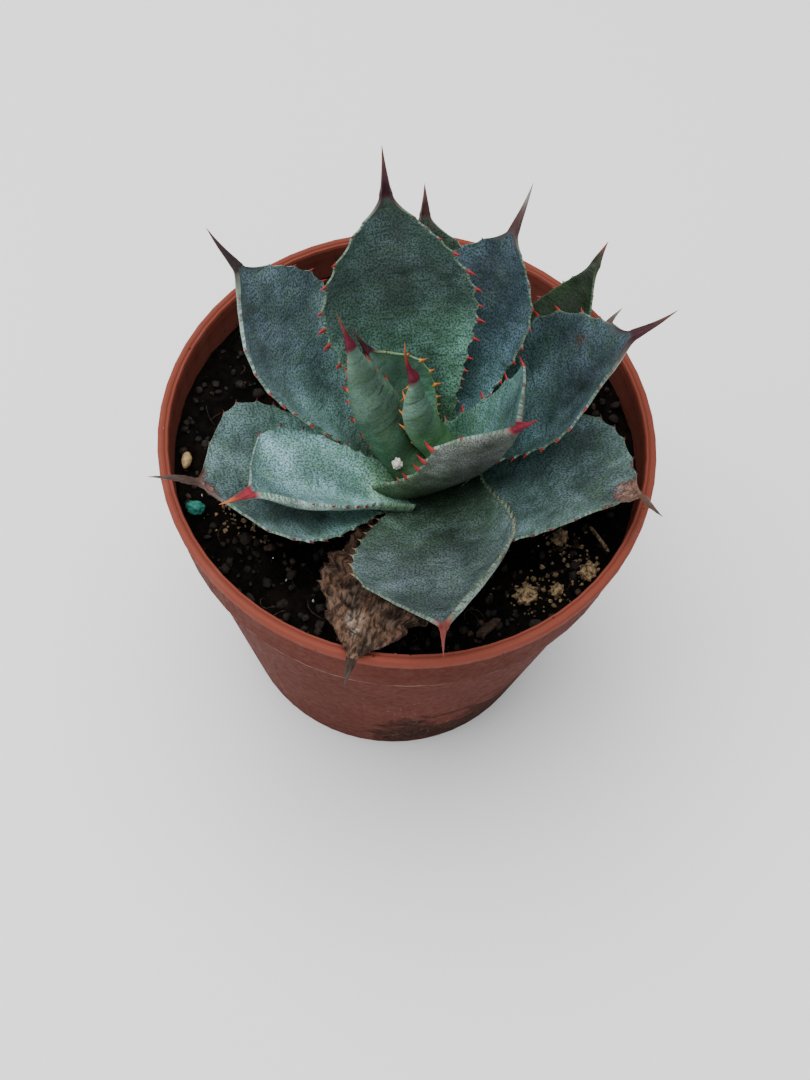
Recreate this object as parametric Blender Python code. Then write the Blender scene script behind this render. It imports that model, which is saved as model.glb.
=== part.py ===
"""Potted agave: a rosette of thick, toothed leaves on a short stem, in a tapered plastic nursery pot.

The frame is +Z up with its origin at the middle of the pot's underside. Dimensions are in millimetres
and degrees; a heading is measured from +X towards +Y, and a pitch upwards from the horizontal.
"""

import math
from dataclasses import dataclass

import bmesh
import bpy
from mathutils import Vector, noise

MM = 0.001
GAP = 0.3

# The pot
POT_HEIGHT = 146.5
RIM_RADIUS = 85.0
LIP_DEPTH = 4.6
LIP_WIDTH = 3.8
COLLAR_DROP = 28.0
COLLAR_FOOT_RADIUS = 81.9
COLLAR_STEP = 2.0
FOOT_RADIUS = 60.7
WALL = 1.8
FLOOR = 3.4
CHANNEL_RISE = 1.6
CHANNEL_INNER = 20.0
CHANNEL_OUTER = 52.0
DRAIN_COUNT = 8
DRAIN_RADIUS = 4.5
DRAIN_CIRCLE = 36.0
POT_SEGMENTS = 60

# The soil and the stem that stands in it
SOIL_EDGE = 131.0
SOIL_HEART = 126.5
SOIL_HEART_RADIUS = 30.0
SOIL_SHOULDER_RADIUS = 62.0
SOIL_SEGMENTS = 36
STEM_X = 7.0
STEM_Y = -5.0
STEM_RADIUS = 5.5
STEM_SET_IN = 12.0
STEM_TOP = 136.0
STEM_SEGMENTS = 14

# A leaf's loft: stations along the blade as fractions of its length, then along the spine
BLADE_STATIONS = (0.0, 0.12, 0.25, 0.38, 0.5, 0.62, 0.74, 0.85, 0.93, 1.0)
SPINE_STATIONS = (0.35, 0.75)
ACROSS = (-1.0, -0.5, 0.0, 0.5, 1.0)
MIDRIB_STEPS = 60
MARGIN_THICKNESS = 1.0
BLADE_THICKNESS = 2.4
FOOT_EXTRA = 2.4
SPINE_RADIUS = 1.0

POT_COLOUR = (0.23, 0.075, 0.05)
SOIL_COLOUR = (0.02, 0.015, 0.012)
STEM_COLOUR = (0.12, 0.1, 0.06)
LEAF_COLOUR = (0.12, 0.2, 0.18)
HEART_COLOUR = (0.12, 0.24, 0.13)
DEAD_COLOUR = (0.14, 0.09, 0.065)


@dataclass
class Leaf:
    """One leaf. cup is how far each half, left and right, curls up towards the upper face, in degrees
    at the margin, and crease is the sharp fold at the midrib that comes on top of it. right_half is
    the right half's width as a share of the left one's. A pitch past 90 leans the leaf back over the
    stem, with its underside outwards."""

    name: str
    foot: tuple
    heading: float
    pitch: tuple
    length: float
    width: float
    cup: tuple
    roll: float = 0.0
    bend: float = 0.0
    widest: float = 0.6
    neck: float = 0.45
    spine: float = 17.0
    spine_lift: float = 0.0
    crease: float = 0.0
    right_half: float = 1.0
    thickness: float = BLADE_THICKNESS
    colour: tuple = LEAF_COLOUR


LEAVES = (
    Leaf("leaf_back_tall", (4, 5, 147), 120, (51, 69), 82, 53, (37, 43), roll=-11, bend=-6,
         widest=0.54, spine=18, spine_lift=2),
    Leaf("leaf_back_left", (-15, -3, 140), 156, (40, 55), 77, 55, (36, 25), roll=22, bend=-16,
         widest=0.64, neck=0.35, spine=16, spine_lift=-20),
    Leaf("leaf_behind", (9, 8, 135), 102, (35, 56), 75, 46, (30, 16), roll=-3, bend=1, widest=0.58,
         spine=11),
    Leaf("leaf_back_right", (9, 4, 141), 73, (41, 44), 73, 45, (26, 33), roll=-15, bend=-5,
         widest=0.62, spine_lift=-2),
    Leaf("leaf_low_back_right", (21, 6, 133), 54, (19, 36), 76, 28, (7, 32), roll=-2, bend=6,
         widest=0.52, spine=9),
    Leaf("leaf_low_right", (18, -9, 135), 46, (26, 34), 70, 29, (8, 14), roll=-34, bend=-2,
         spine=10),
    Leaf("leaf_right", (17, 1, 140), 21, (37, 52), 75, 52, (27, 29), roll=-9, bend=-6, widest=0.54,
         neck=0.52, spine_lift=-10),
    Leaf("leaf_front_right", (22, -12, 133), -3, (36, 22), 65, 66, (9, 9), roll=-16, bend=-20,
         widest=0.48, spine=10, spine_lift=-42),
    Leaf("leaf_front", (15, -16, 136.5), -90, (27, 33), 76, 58, (59, 30), roll=14, bend=3,
         widest=0.62, neck=0.5, spine=18),
    Leaf("leaf_left_upper", (-7, -22.5, 145), 196, (29, 34), 53, 41, (55, 40), roll=6, bend=23,
         widest=0.66, neck=0.5, spine=12, spine_lift=-20),
    Leaf("leaf_left_lower", (-7, -13, 133), 202, (25, 24), 69, 65, (29, 16), roll=9, bend=-1,
         widest=0.62, spine=18, spine_lift=7),
    Leaf("leaf_folded_right", (2.5, -18, 142), -10, (43, 80), 65, 59, (9, 20), roll=-23, bend=-7,
         widest=0.75, neck=0.65, spine=13, spine_lift=-22, crease=26, right_half=0.74),
    Leaf("leaf_heart_front", (3.5, -13, 147.5), -30, (130, 112), 55, 20, (37, 72), roll=-7, bend=4,
         widest=0.3, neck=0.9, spine=14, spine_lift=-1, colour=HEART_COLOUR),
    Leaf("leaf_heart_back", (6, -0.5, 147.5), 156, (54, 52), 39, 26, (26, 56), roll=-13,
         widest=0.56, spine=11, spine_lift=-1, colour=HEART_COLOUR),
    Leaf("leaf_heart_core", (11.5, -8, 153), -20, (123, 104), 34, 17, (122, 99), roll=20, bend=-13,
         widest=0.35, neck=0.8, colour=HEART_COLOUR),
    Leaf("leaf_dead", (2, -30, 133), -102, (25, 8), 60, 40, (8, 12), widest=0.55, neck=0.6, spine=10,
         spine_lift=-55, thickness=1.4, colour=DEAD_COLOUR),
)


@dataclass
class Scrap:
    """A loose piece that rests on the soil: its middle in plan, its three sizes, its turn and colour."""

    name: str
    middle: tuple
    sizes: tuple
    turn: float
    colour: tuple
    roughness: float = 0.9


SCRAPS = (
    Scrap("pebble", (-75, -13), (3.6, 6.4, 3.6), 8, (0.36, 0.24, 0.11), 0.55),
    Scrap("feed_granule", (-69, -31), (7, 4.6, 4.4), 18, (0.02, 0.2, 0.15)),
    Scrap("bark_chip", (33, -63), (10, 3.6, 1.8), 46, (0.06, 0.032, 0.022)),
    Scrap("soil_clod_1", (45, -50), (6.5, 6, 4.5), 0, (0.2, 0.13, 0.065)),
    Scrap("soil_clod_2", (55, -47), (4.4, 4, 3.2), 40, (0.2, 0.13, 0.065)),
    Scrap("soil_clod_3", (65, -39), (5.5, 5, 4), 75, (0.13, 0.09, 0.06)),
    Scrap("soil_clod_4", (55, -27.5), (5.5, 4.4, 3.6), 110, (0.24, 0.15, 0.07)),
)
STRAW_ENDS = ((65.5, -21.5), (71.5, -30))
STRAW_RADIUS = 0.6
PERLITE_MIDDLE = (-2.6, -18.2, 155.5)
PERLITE_SIZE = 3.2


def clear_scene():
    for obj in list(bpy.data.objects):
        bpy.data.objects.remove(obj, do_unlink=True)


def make_material(name, colour, roughness):
    material = bpy.data.materials.new(name)
    material.use_nodes = True
    shader = material.node_tree.nodes["Principled BSDF"]
    shader.inputs["Base Color"].default_value = (*colour, 1.0)
    shader.inputs["Roughness"].default_value = roughness
    shader.inputs["Metallic"].default_value = 0.0
    return material


def add_object(name, mesh, colour, roughness, smooth=True):
    """Link a mesh into the scene under its sub-part's name, with a material of its own."""
    obj = bpy.data.objects.new(name, mesh)
    bpy.context.scene.collection.objects.link(obj)
    mesh.materials.append(make_material(name, colour, roughness))
    if smooth:
        mesh.shade_smooth()
        mesh.set_sharp_from_angle(angle=math.radians(40))
    return obj


def mesh_from(name, build):
    """A new mesh filled in by build(bm)."""
    bm = bmesh.new()
    build(bm)
    bmesh.ops.recalc_face_normals(bm, faces=bm.faces)
    mesh = bpy.data.meshes.new(name)
    bm.to_mesh(mesh)
    bm.free()
    return mesh


def turned(name, profile, segments, colour, roughness):
    """A turned solid. The profile runs from the axis up the inside, over the top and down the outside."""
    mesh = bpy.data.meshes.new(name)
    points = [(radius * MM, 0.0, height * MM) for radius, height in profile]
    edges = [(i, i + 1) for i in range(len(points) - 1)]
    mesh.from_pydata(points, edges, [])
    obj = add_object(name, mesh, colour, roughness, smooth=False)
    screw = obj.modifiers.new("turn", "SCREW")
    screw.axis = "Z"
    screw.steps = segments
    screw.render_steps = segments
    screw.use_merge_vertices = True
    screw.merge_threshold = 0.00001
    screw.use_smooth_shade = True
    return obj


def cutter(name, build):
    """A hidden mesh for a Boolean to cut with."""
    obj = bpy.data.objects.new(name, mesh_from(name, build))
    bpy.context.scene.collection.objects.link(obj)
    obj.hide_render = True
    obj.display_type = "WIRE"
    return obj


def cut(obj, tool):
    boolean = obj.modifiers.new("cut_" + tool.name, "BOOLEAN")
    boolean.operation = "DIFFERENCE"
    boolean.object = tool


def add_upright_cylinder(bm, x, y, low, high, radius, segments):
    made = bmesh.ops.create_cone(bm, cap_ends=True, segments=segments, radius1=radius * MM,
                                 radius2=radius * MM, depth=(high - low) * MM)
    bmesh.ops.translate(bm, verts=made["verts"], vec=Vector((x, y, (low + high) / 2)) * MM)


def inner_wall(height):
    """The pot's inside radius at a height: one taper up the body, another up the collar."""
    step = POT_HEIGHT - COLLAR_DROP
    body_top = COLLAR_FOOT_RADIUS - COLLAR_STEP - WALL
    collar_foot = COLLAR_FOOT_RADIUS - WALL
    collar_top = RIM_RADIUS - LIP_WIDTH
    if height < step:
        return FOOT_RADIUS - WALL + (body_top - FOOT_RADIUS + WALL) * height / step
    return collar_foot + (collar_top - collar_foot) * (height - step) / COLLAR_DROP


def make_pot():
    step = POT_HEIGHT - COLLAR_DROP
    lip_inside = RIM_RADIUS - LIP_WIDTH
    inside = [
        (0.0, FLOOR),
        (inner_wall(FLOOR) - 1.2, FLOOR),
        (inner_wall(FLOOR + 1.2), FLOOR + 1.2),
        (inner_wall(step - 0.1), step - 1.0),
        (inner_wall(step), step + 1.4),
        (lip_inside, POT_HEIGHT - 1.4),
    ]
    lip = [
        (lip_inside + 0.35, POT_HEIGHT - 0.45),
        (lip_inside + 0.9, POT_HEIGHT - 0.3),
        (lip_inside + 1.3, POT_HEIGHT - 0.7),
        (lip_inside + 1.7, POT_HEIGHT - 0.25),
        (RIM_RADIUS - 1.4, POT_HEIGHT),
        (RIM_RADIUS - 0.5, POT_HEIGHT - 0.4),
        (RIM_RADIUS, POT_HEIGHT - 1.4),
        (RIM_RADIUS, POT_HEIGHT - LIP_DEPTH + 0.7),
        (RIM_RADIUS - 0.6, POT_HEIGHT - LIP_DEPTH),
        (RIM_RADIUS - 1.5, POT_HEIGHT - LIP_DEPTH - 0.2),
    ]
    outside = [
        (COLLAR_FOOT_RADIUS + 0.1, step + 0.7),
        (COLLAR_FOOT_RADIUS - 0.5, step),
        (COLLAR_FOOT_RADIUS - COLLAR_STEP, step - 0.3),
        (FOOT_RADIUS + 0.3, 1.2),
        (FOOT_RADIUS - 0.6, 0.0),
        (CHANNEL_OUTER, 0.0),
        (CHANNEL_OUTER - 1.0, CHANNEL_RISE),
        (CHANNEL_INNER + 1.0, CHANNEL_RISE),
        (CHANNEL_INNER, 0.0),
        (0.0, 0.0),
    ]
    pot = turned("pot", inside + lip + outside, POT_SEGMENTS, POT_COLOUR, 0.55)

    def drains(bm):
        for i in range(DRAIN_COUNT):
            angle = 2 * math.pi * (i + 0.5) / DRAIN_COUNT
            x, y = DRAIN_CIRCLE * math.cos(angle), DRAIN_CIRCLE * math.sin(angle)
            add_upright_cylinder(bm, x, y, -5.0, FLOOR + 5.0, DRAIN_RADIUS, 12)

    cut(pot, cutter("drain_cutter", drains))


def make_soil():
    step = POT_HEIGHT - COLLAR_DROP
    low = FLOOR + GAP
    profile = [
        (0.0, SOIL_HEART),
        (SOIL_HEART_RADIUS, SOIL_HEART),
        (SOIL_SHOULDER_RADIUS, SOIL_EDGE - 0.4),
        (inner_wall(SOIL_EDGE) - GAP, SOIL_EDGE),
        (inner_wall(step) - GAP - 0.2, step + 1.6),
        (inner_wall(step - 0.1) - GAP, step - 1.0),
        (inner_wall(low + 1.2) - GAP, low + 1.4),
        (inner_wall(low) - GAP - 1.4, low),
        (0.0, low),
    ]
    soil = turned("soil", profile, SOIL_SEGMENTS, SOIL_COLOUR, 0.95)
    low_end = SOIL_HEART - STEM_SET_IN - GAP
    cut(soil, cutter("stem_cutter", lambda bm: add_upright_cylinder(
        bm, STEM_X, STEM_Y, low_end, STEM_TOP + 5.0, STEM_RADIUS + GAP, STEM_SEGMENTS)))


def make_stem():
    low = SOIL_HEART - STEM_SET_IN
    mesh = mesh_from("stem", lambda bm: add_upright_cylinder(
        bm, STEM_X, STEM_Y, low, STEM_TOP, STEM_RADIUS, STEM_SEGMENTS))
    add_object("stem", mesh, STEM_COLOUR, 0.8)


def blade_half_width(leaf, s):
    """Half the blade's flat width at station s: a neck that widens, then a curve in to the tip."""
    if s < leaf.widest:
        rise = math.sin(s / leaf.widest * math.pi / 2) ** 1.6
        share = leaf.neck + (1 - leaf.neck) * rise
    else:
        share = (1 - ((s - leaf.widest) / (1 - leaf.widest)) ** 2.2) ** 1.1
    return math.hypot(leaf.width / 2 * share, SPINE_RADIUS)


def midrib(leaf):
    """Points and directions along the midrib, whose pitch and heading ease from foot to tip."""
    points, directions = [Vector(leaf.foot)], []
    for i in range(MIDRIB_STEPS + 1):
        t = i / MIDRIB_STEPS
        ease = t * t * (3 - 2 * t)
        pitch = math.radians(leaf.pitch[0] + (leaf.pitch[1] - leaf.pitch[0]) * ease)
        heading = math.radians(leaf.heading + leaf.bend * ease)
        flat = Vector((math.cos(heading), math.sin(heading), 0))
        directions.append((flat * math.cos(pitch) + Vector((0, 0, math.sin(pitch))), heading))
        if i:
            middle = (directions[i - 1][0] + directions[i][0]) / 2
            points.append(points[-1] + middle * (leaf.length / MIDRIB_STEPS))
    return points, directions


def frame_at(leaf, points, directions, s):
    """The midrib's point, direction, leftward and upward vectors at station s."""
    place = s * MIDRIB_STEPS
    i = min(int(place), MIDRIB_STEPS - 1)
    point = points[i].lerp(points[i + 1], place - i)
    along = directions[i][0].lerp(directions[i + 1][0], place - i).normalized()
    heading = directions[i][1] + (directions[i + 1][1] - directions[i][1]) * (place - i)
    left = Vector((-math.sin(heading), math.cos(heading), 0))
    up = along.cross(left)
    roll = math.radians(leaf.roll)
    rolled_left = left * math.cos(roll) + up * math.sin(roll)
    rolled_up = up * math.cos(roll) - left * math.sin(roll)
    return point, along, rolled_left, rolled_up


def blade_ring(leaf, frame, s):
    """One cross-section of the blade: its upper face from right to left, then its underside back."""
    point, _, left, up = frame
    half_width = blade_half_width(leaf, s)
    crease = math.radians(leaf.crease)
    middle_thickness = leaf.thickness + FOOT_EXTRA * (1 - s) ** 2 * leaf.thickness / BLADE_THICKNESS
    upper, under = [], []
    for u in ACROSS:
        side = math.copysign(1.0, u)
        width = half_width * (leaf.right_half if u < 0 else 1.0)
        fold = math.radians(leaf.cup[0] if u > 0 else leaf.cup[1])
        turn = crease + fold * abs(u)
        outwards = width * (math.sin(turn) - math.sin(crease)) / fold
        lift = width * (math.cos(crease) - math.cos(turn)) / fold
        on_top = point + left * (side * outwards) + up * lift
        turn = turn if u else 0.0
        normal = up * math.cos(turn) - left * (side * math.sin(turn))
        thickness = MARGIN_THICKNESS + (middle_thickness - MARGIN_THICKNESS) * (1 - u * u)
        upper.append(on_top)
        under.append(on_top - normal * thickness)
    return upper + under[::-1]


def leaf_rings(leaf):
    """Every cross-section from foot to spine, and the spine's point."""
    points, directions = midrib(leaf)
    rings = []
    for s in BLADE_STATIONS:
        frame = frame_at(leaf, points, directions, s)
        rings.append(blade_ring(leaf, frame, s))
    tip, along, _, up = frame
    lift = math.radians(leaf.spine_lift)
    spine_point = tip + (along * math.cos(lift) + up * math.sin(lift)) * leaf.spine
    last = rings[-1]
    middle = sum(last, Vector()) / len(last)
    for f in SPINE_STATIONS:
        centre = middle.lerp(spine_point, f)
        rings.append([centre + (corner - middle) * (1 - f) for corner in last])
    return rings, spine_point


def make_leaf(leaf):
    rings, spine_point = leaf_rings(leaf)

    def build(bm):
        loops = [[bm.verts.new(corner * MM) for corner in ring] for ring in rings]
        count = len(loops[0])
        for first, second in zip(loops, loops[1:]):
            for i in range(count):
                j = (i + 1) % count
                bm.faces.new((first[i], first[j], second[j], second[i]))
        point = bm.verts.new(spine_point * MM)
        for i in range(count):
            bm.faces.new((loops[-1][i], loops[-1][(i + 1) % count], point))
        bm.faces.new(loops[0][::-1])
        bmesh.ops.triangulate(bm, faces=bm.faces)

    add_object(leaf.name, mesh_from(leaf.name, build), leaf.colour, 0.6)


def make_lump(name, sizes, colour, roughness, unevenness=0.18):
    """A rounded, slightly uneven lump whose box is about the given sizes."""

    def build(bm):
        bmesh.ops.create_icosphere(bm, subdivisions=2, radius=0.5)
        for vert in bm.verts:
            swell = 1 + unevenness * noise.noise(vert.co * 3.1 + Vector((len(name), 0, 0)))
            vert.co = Vector(c * size * MM * swell for c, size in zip(vert.co, sizes))

    return add_object(name, mesh_from(name, build), colour, roughness)


def soil_height(x, y):
    """The soil's top at a place: flat in the heart, then a straight slope to the shoulder."""
    radius = math.hypot(x, y)
    share = (radius - SOIL_HEART_RADIUS) / (SOIL_SHOULDER_RADIUS - SOIL_HEART_RADIUS)
    return SOIL_HEART + (SOIL_EDGE - SOIL_HEART) * min(1.0, max(0.0, share))


def make_scraps():
    for scrap in SCRAPS:
        obj = make_lump(scrap.name, scrap.sizes, scrap.colour, scrap.roughness)
        x, y = scrap.middle
        height = soil_height(x, y) + scrap.sizes[2] * 0.55 + GAP
        obj.location = Vector((x, y, height)) * MM
        obj.rotation_euler.z = math.radians(scrap.turn)


def make_straw():
    """A short dry stalk lying across the soil."""
    start, end = (Vector((x, y, SOIL_EDGE + STRAW_RADIUS + GAP)) * MM for x, y in STRAW_ENDS)
    along = end - start

    def build(bm):
        made = bmesh.ops.create_cone(bm, cap_ends=True, segments=8, radius1=STRAW_RADIUS * MM,
                                     radius2=STRAW_RADIUS * MM, depth=along.length)
        turn = along.to_track_quat("Z", "Y").to_matrix()
        bmesh.ops.rotate(bm, verts=made["verts"], cent=(0, 0, 0), matrix=turn)

    obj = add_object("straw", mesh_from("straw", build), (0.2, 0.12, 0.06), 0.8)
    obj.location = (start + end) / 2


def make_perlite():
    """A white grain caught between the leaves at the heart."""
    sizes = (PERLITE_SIZE, PERLITE_SIZE * 1.3, PERLITE_SIZE * 0.9)
    obj = make_lump("perlite_grain", sizes, (0.62, 0.6, 0.56), 0.8)
    obj.location = Vector(PERLITE_MIDDLE) * MM


def main():
    clear_scene()
    make_pot()
    make_soil()
    make_stem()
    for leaf in LEAVES:
        make_leaf(leaf)
    make_scraps()
    make_straw()
    make_perlite()


main()
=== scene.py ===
"""Potted agave, dressed: toothed waxy leaves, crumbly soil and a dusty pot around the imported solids.

Everything is in the part's own frame. Lengths in the tables are millimetres, angles are degrees, a heading
is measured from +X towards +Y, and colours are linear.
"""

import math
import random
from dataclasses import dataclass

import bmesh
import bpy
import numpy as np
from mathutils import Matrix, Vector, noise


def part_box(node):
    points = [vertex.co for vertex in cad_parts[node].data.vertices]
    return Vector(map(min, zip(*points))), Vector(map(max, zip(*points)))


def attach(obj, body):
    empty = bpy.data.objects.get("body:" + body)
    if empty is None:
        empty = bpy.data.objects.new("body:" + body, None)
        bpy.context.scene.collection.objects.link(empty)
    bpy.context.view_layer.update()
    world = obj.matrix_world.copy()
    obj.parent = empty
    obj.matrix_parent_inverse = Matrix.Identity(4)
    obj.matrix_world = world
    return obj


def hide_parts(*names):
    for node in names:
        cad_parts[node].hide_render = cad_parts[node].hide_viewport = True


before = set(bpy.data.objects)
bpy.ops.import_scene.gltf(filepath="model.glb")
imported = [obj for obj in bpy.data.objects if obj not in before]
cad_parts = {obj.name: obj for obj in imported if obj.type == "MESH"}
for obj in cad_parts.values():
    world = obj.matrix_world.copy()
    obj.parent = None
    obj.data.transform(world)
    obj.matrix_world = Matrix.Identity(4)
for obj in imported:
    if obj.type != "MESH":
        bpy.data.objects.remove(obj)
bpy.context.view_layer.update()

MM = 0.001

# Camera
CAMERA_PLACE = (0.0027, -0.2613, 0.5860)
CAMERA_PITCH = 63.4
CAMERA_ROLL = 6.23
CAMERA_LENS = 50.0
SENSOR_WIDTH = 36.0

# Leaf loft
STATIONS = 110
TAIL_STATIONS = 8
SPINE_RINGS = 16
ACROSS = (0.0, 0.12, 0.25, 0.38, 0.5, 0.61, 0.71, 0.8, 0.87, 0.93, 0.965, 0.985, 1.0)
SECTION = tuple(-u for u in reversed(ACROSS[1:])) + ACROSS
MIDRIB_STEPS = 60
MARGIN_THICKNESS = 0.8
MARGIN_TRIM = 0.5
FULL_SCALLOP_WIDTH = 45
FOOT_EXTRA = 2.6
TOOTH_RINGS = (-0.3, 0.0, 0.2, 0.4, 0.6, 0.78, 0.9)
TOOTH_SIDES = 9

# Pot and soil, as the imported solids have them
POT_HEIGHT = 146.5
COLLAR_DROP = 28.0
COLLAR_FOOT = POT_HEIGHT - COLLAR_DROP
INSIDE_FOOT_RADIUS = 58.9
INSIDE_NECK_RADIUS = 78.1
INSIDE_COLLAR_RADIUS = 80.1
COLLAR_FLARE = 1.1
SOIL_EDGE = 131.0
SOIL_HEART = 126.5
SOIL_HEART_RADIUS = 30.0
SOIL_SHOULDER_RADIUS = 62.0
SOIL_REACH = 78.0
SOIL_RINGS = 95
SOIL_SECTORS = 240
SOIL_PLUG_HEIGHTS = (118.0, 60.0, 3.9)
FIBRE_STEPS = 9
STRAW_STEPS = 14
STRAW_RADIUS = 0.62

# Colours of the leaves, and the plain tone that pieces with a material of their own carry
YELLOW_MARGIN = (0.17, 0.21, 0.08)
PALE_MARGIN = (0.15, 0.21, 0.13)
UNDERSIDE = (0.11, 0.145, 0.125)
TOOTH_RED = (0.26, 0.012, 0.016)
TOOTH_ORANGE = (0.50, 0.13, 0.035)
TOOTH_YELLOW = (0.50, 0.33, 0.06)
TOOTH_DARK = (0.07, 0.012, 0.018)
TOOTH_WINE = (0.17, 0.03, 0.022)
SPINE_WINE = (0.035, 0.008, 0.013)
SPINE_BROWN = (0.06, 0.03, 0.028)
SPINE_TIP = (0.11, 0.045, 0.035)
DRY_BROWN = (0.085, 0.045, 0.03)
DRY_PINK = (0.19, 0.105, 0.08)
DEAD_DUST = (0.24, 0.18, 0.14)
DEAD_BLEACHED = (0.42, 0.36, 0.29)
SCAR_BROWN = (0.04, 0.028, 0.018)
SOIL_TONE = (0.02, 0.015, 0.01)
STRAND_TONE = (0.1, 0.07, 0.04)
LUMP_TONE = (0.1, 0.1, 0.1)


@dataclass
class Leaf:
    """One leaf of the rosette. The first group repeats the part's own dimensions. The rest is what the
    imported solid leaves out: teeth on each margin, colours, and how far the end has dried."""

    name: str
    foot: tuple
    heading: float
    pitch: tuple
    length: float
    width: float
    cup: tuple
    roll: float = 0.0
    bend: float = 0.0
    widest: float = 0.6
    neck: float = 0.45
    spine: float = 17.0
    spine_lift: float = 0.0
    thickness: float = 2.4
    tail: float = 9.0
    tint: tuple = (0.09, 0.15, 0.14)
    under: tuple = UNDERSIDE
    margin: tuple = PALE_MARGIN
    spacing: float = 6.6
    tooth: float = 2.3
    tooth_root: tuple = TOOTH_WINE
    tooth_end: tuple = TOOTH_RED
    hook: float = -0.25
    spine_root: tuple = SPINE_WINE
    spine_end: tuple = SPINE_TIP
    spine_radius: float = 1.9
    turn_up: float = 0.15
    scar: tuple = ()
    decurrent: float = 0.09
    # painted light and shade: multiplies the leaf's colour towards its foot, lighter where above 1, darker
    # where below
    foot_shade: tuple = (1.9, 2.3, 2.0)
    dry: float = 0.0
    wave: float = 0.5
    crease: float = 0.0
    right_half: float = 1.0
    slot: str = "leaf_skin"


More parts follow.
